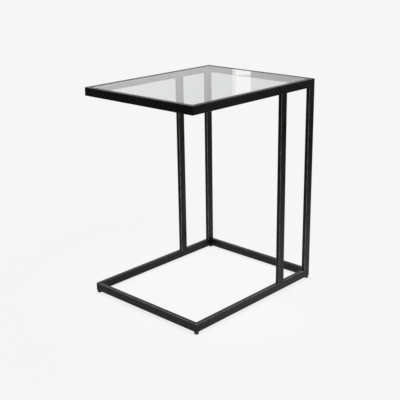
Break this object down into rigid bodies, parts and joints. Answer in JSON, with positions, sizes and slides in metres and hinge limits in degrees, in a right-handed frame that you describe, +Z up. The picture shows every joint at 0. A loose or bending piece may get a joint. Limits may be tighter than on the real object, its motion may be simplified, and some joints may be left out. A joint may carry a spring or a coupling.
{
  "type": "side table",
  "caption": "C-shaped side table: welded frame of flat black tube, open at the front and sides, with posts at the back, a drop-in glass top and screw-in levelling feet.",
  "frame": {"origin": "on the floor, at the middle of the table's footprint", "axes": "+Z up, +X to the right along the front rail, +Y from the open front to the posts at the back"},
  "size_m": [0.44, 0.54, 0.66],
  "materials": {
    "black_steel": "satin black powder coat over steel tube, slightly bronze on the edges",
    "clear_glass": "clear tempered float glass, polished, with ground edges",
    "clear_silicone": "clear soft silicone",
    "zinc_steel": "bright zinc-plated thread",
    "black_plastic": "moulded black nylon, fine matt texture"
  },
  "bodies": {
    "frame": {"base_front_rail": "black_steel", "base_right_rail": "black_steel", "base_back_rail": "black_steel", "base_left_rail": "black_steel", "top_front_rail": "black_steel", "top_right_rail": "black_steel", "top_back_rail": "black_steel", "top_left_rail": "black_steel", "back_left_post": "black_steel", "inner_left_post": "black_steel", "back_right_post": "black_steel", "inner_right_post": "black_steel", "front_glass_ledge": "black_steel", "back_glass_ledge": "black_steel", "left_glass_ledge": "black_steel", "right_glass_ledge": "black_steel", "glass_bumpers": "clear_silicone", "foot_bushes": "zinc_steel"},
    "glass_top": {"glass_pane": "clear_glass"},
    "front_left_stud": {"front_left_foot_stud": "zinc_steel"},
    "front_left_foot": {"front_left_foot_pad": "black_plastic"},
    "front_right_stud": {"front_right_foot_stud": "zinc_steel"},
    "front_right_foot": {"front_right_foot_pad": "black_plastic"},
    "back_left_stud": {"back_left_foot_stud": "zinc_steel"},
    "back_left_foot": {"back_left_foot_pad": "black_plastic"},
    "back_right_stud": {"back_right_foot_stud": "zinc_steel"},
    "back_right_foot": {"back_right_foot_pad": "black_plastic"}
  },
  "joints": [
    {"name": "glass_lift", "type": "slide", "parent": "frame", "child": "glass_top", "axis": [0, 0, 1], "range_m": [0, 0.06]},
    {"name": "front_left_foot_travel", "type": "slide", "parent": "frame", "child": "front_left_stud", "axis": [0, 0, -1], "range_m": [0, 0.008]},
    {"name": "front_left_foot_turn", "type": "hinge", "parent": "front_left_stud", "child": "front_left_foot", "pos_m": [-0.2135, -0.2635, 0.0035], "axis": [0, 0, -1], "range_deg": [0, 3600]},
    {"name": "front_right_foot_travel", "type": "slide", "parent": "frame", "child": "front_right_stud", "axis": [0, 0, -1], "range_m": [0, 0.008]},
    {"name": "front_right_foot_turn", "type": "hinge", "parent": "front_right_stud", "child": "front_right_foot", "pos_m": [0.2135, -0.2635, 0.0035], "axis": [0, 0, -1], "range_deg": [0, 3600]},
    {"name": "back_left_foot_travel", "type": "slide", "parent": "frame", "child": "back_left_stud", "axis": [0, 0, -1], "range_m": [0, 0.008]},
    {"name": "back_left_foot_turn", "type": "hinge", "parent": "back_left_stud", "child": "back_left_foot", "pos_m": [-0.2135, 0.2635, 0.0035], "axis": [0, 0, -1], "range_deg": [0, 3600]},
    {"name": "back_right_foot_travel", "type": "slide", "parent": "frame", "child": "back_right_stud", "axis": [0, 0, -1], "range_m": [0, 0.008]},
    {"name": "back_right_foot_turn", "type": "hinge", "parent": "back_right_stud", "child": "back_right_foot", "pos_m": [0.2135, 0.2635, 0.0035], "axis": [0, 0, -1], "range_deg": [0, 3600]}
  ],
  "couplings": [
    {"joint": "front_left_foot_turn", "follows": "front_left_foot_travel", "rad_per_m": 7853.9},
    {"joint": "front_right_foot_turn", "follows": "front_right_foot_travel", "rad_per_m": 7853.9},
    {"joint": "back_left_foot_turn", "follows": "back_left_foot_travel", "rad_per_m": 7853.9},
    {"joint": "back_right_foot_turn", "follows": "back_right_foot_travel", "rad_per_m": 7853.9}
  ]
}
